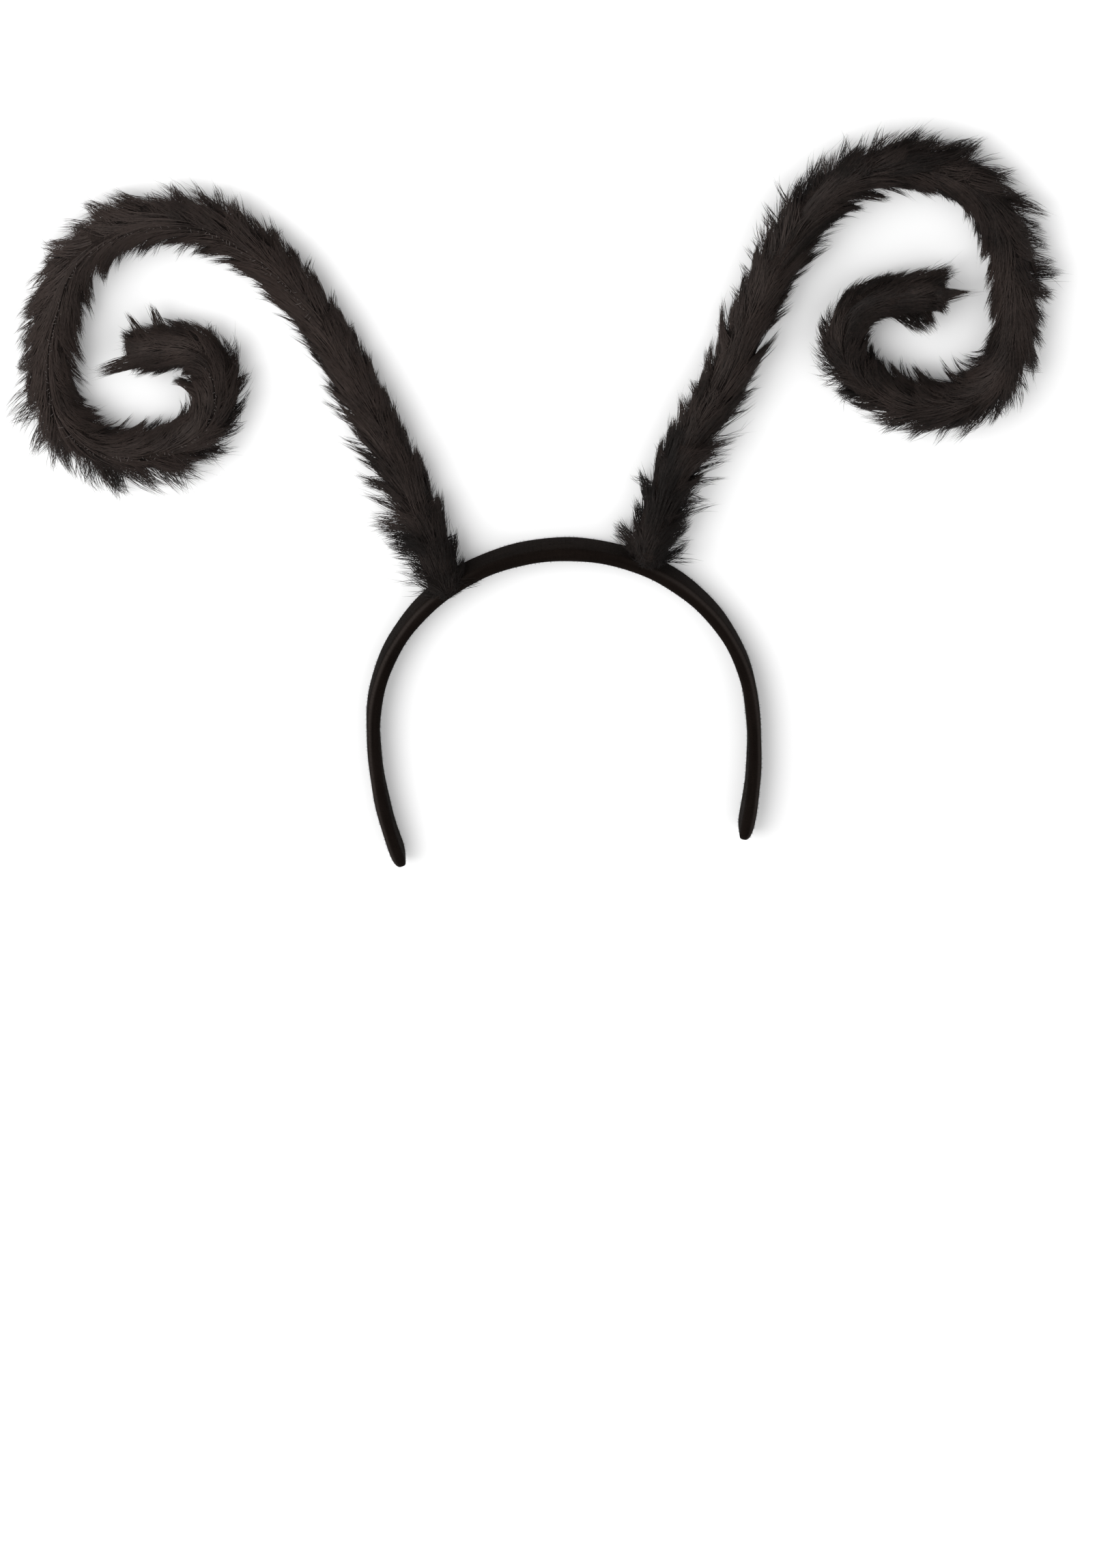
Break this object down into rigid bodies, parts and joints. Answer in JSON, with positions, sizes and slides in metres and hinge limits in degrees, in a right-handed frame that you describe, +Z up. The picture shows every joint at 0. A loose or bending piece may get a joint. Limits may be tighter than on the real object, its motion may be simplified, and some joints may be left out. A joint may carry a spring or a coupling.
{
  "type": "antenna headband",
  "caption": "Velvet hair band with long fur antennae that rise from its crown and curl outward into spirals, lying on its back.",
  "frame": {"origin": "middle of the crown on the band's rear edge, which lies on the floor", "axes": "+X to the right as seen from the front, +Y from the crown towards the antennae, +Z up out of the band's front"},
  "size_m": [0.3867, 0.2856, 0.0224],
  "materials": {
    "velvet": "black velvet over a padded strip",
    "fur": "long black pile with a soft sheen"
  },
  "bodies": {
    "root": {"headband": "velvet", "antenna_left": "fur", "antenna_right": "fur"}
  },
  "joints": []
}
